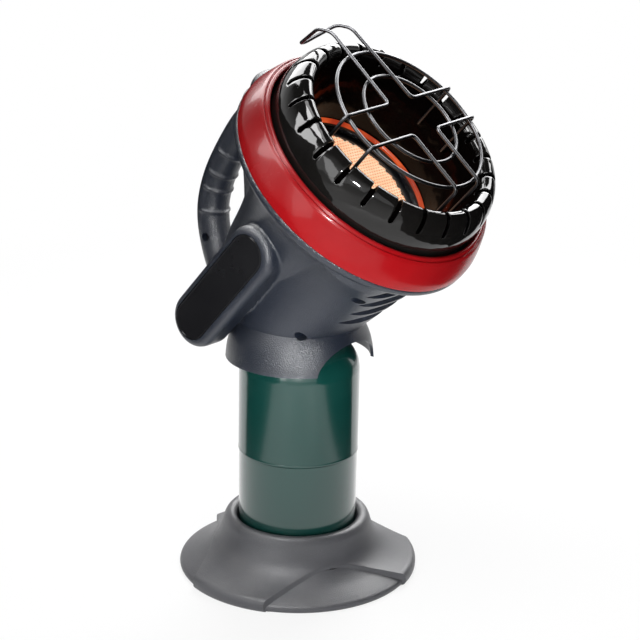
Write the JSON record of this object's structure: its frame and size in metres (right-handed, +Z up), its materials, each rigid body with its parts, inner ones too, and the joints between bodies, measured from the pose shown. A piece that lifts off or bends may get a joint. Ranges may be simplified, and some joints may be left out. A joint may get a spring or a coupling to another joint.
{
  "type": "portable propane heater",
  "caption": "Radiant head with a slotted black dish and wire guard, tilted on a grey clamshell body with a loop handle, screwed onto a gas cylinder that stands in a round foot.",
  "frame": {"origin": "middle of the foot's underside, on the cylinder's axis", "axes": "+Z up along the cylinder; the radiant head faces -Y and tilts up; the handle is at +Y; -X is the user's left looking along +Y"},
  "size_m": [0.2158, 0.2675, 0.4515],
  "materials": {
    "foot_plastic": "fine grain, satin",
    "body_plastic": "fine grain, satin",
    "cylinder_paint": "gloss enamel",
    "red_enamel": "gloss",
    "black_enamel": "high gloss",
    "label_black": "smooth",
    "guard_steel": "drawn wire",
    "dark_steel": "satin black",
    "brass": "turned",
    "zinc_casting": "as cast",
    "burner_ceramic": "porous, glowing",
    "white_ceramic": "unglazed",
    "seal_rubber": "matte",
    "red_plastic": "gloss",
    "black_plastic": "satin"
  },
  "bodies": {
    "foot": {"base_foot": "foot_plastic"},
    "cylinder": {"cylinder_upper_cup": "cylinder_paint", "cylinder_lower_cup": "cylinder_paint", "cylinder_valve_neck": "brass", "cylinder_valve_core": "brass", "cylinder_relief_valve": "brass"},
    "seal": {"inlet_seal": "seal_rubber"},
    "heater": {"housing_left": "body_plastic", "housing_right": "body_plastic", "label_plate_left": "label_black", "label_plate_right": "label_black", "handle_screw": "dark_steel", "chin_screw": "dark_steel", "shroud_screw": "dark_steel", "bezel_ring": "red_enamel", "mounting_plate": "dark_steel", "reflector_dish": "black_enamel", "burner_pan": "dark_steel", "burner_tile": "burner_ceramic", "tile_retaining_ring": "dark_steel", "tile_gasket": "white_ceramic", "mixer_tube": "guard_steel", "gas_jet": "brass", "pilot_bracket": "guard_steel", "pilot_tube": "brass", "thermocouple": "guard_steel", "spark_electrode": "white_ceramic", "guard_outer_ring": "guard_steel", "guard_inner_ring": "guard_steel", "guard_top_wire": "guard_steel", "guard_left_wire": "guard_steel", "guard_right_wire": "guard_steel", "inlet_fitting": "zinc_casting", "regulator_body": "zinc_casting", "regulator_cap": "zinc_casting", "gas_tube": "brass", "start_spring": "guard_steel", "off_spring": "guard_steel", "piezo_igniter": "black_plastic", "tip_over_switch": "black_plastic"},
    "start": {"start_button": "red_plastic", "start_plunger": "brass"},
    "stop": {"off_button": "black_plastic", "off_plunger": "brass"}
  },
  "joints": [
    {"name": "cylinder_lift", "type": "slide", "parent": "foot", "child": "cylinder", "axis": [0, 0, 1], "range_m": [0, 0.045]},
    {"name": "thread_rise", "type": "slide", "parent": "cylinder", "child": "seal", "axis": [0, 0, 1], "range_m": [0, 0.00953]},
    {"name": "heater_turn", "type": "hinge", "parent": "seal", "child": "heater", "pos_m": [0, 0, 0.213], "axis": [0, 0, 1], "range_deg": [0, 2700]},
    {"name": "start_press", "type": "slide", "parent": "heater", "child": "start", "axis": [0, -1, 0], "range_m": [0, 0.004], "stiffness_N_per_m": 1200, "springref_m": -0.001},
    {"name": "stop_press", "type": "slide", "parent": "heater", "child": "stop", "axis": [0, -1, 0], "range_m": [0, 0.003], "stiffness_N_per_m": 1000, "springref_m": -0.001}
  ],
  "couplings": [
    {"joint": "thread_rise", "follows": "heater_turn", "m_per_rad": 0.00020213}
  ]
}
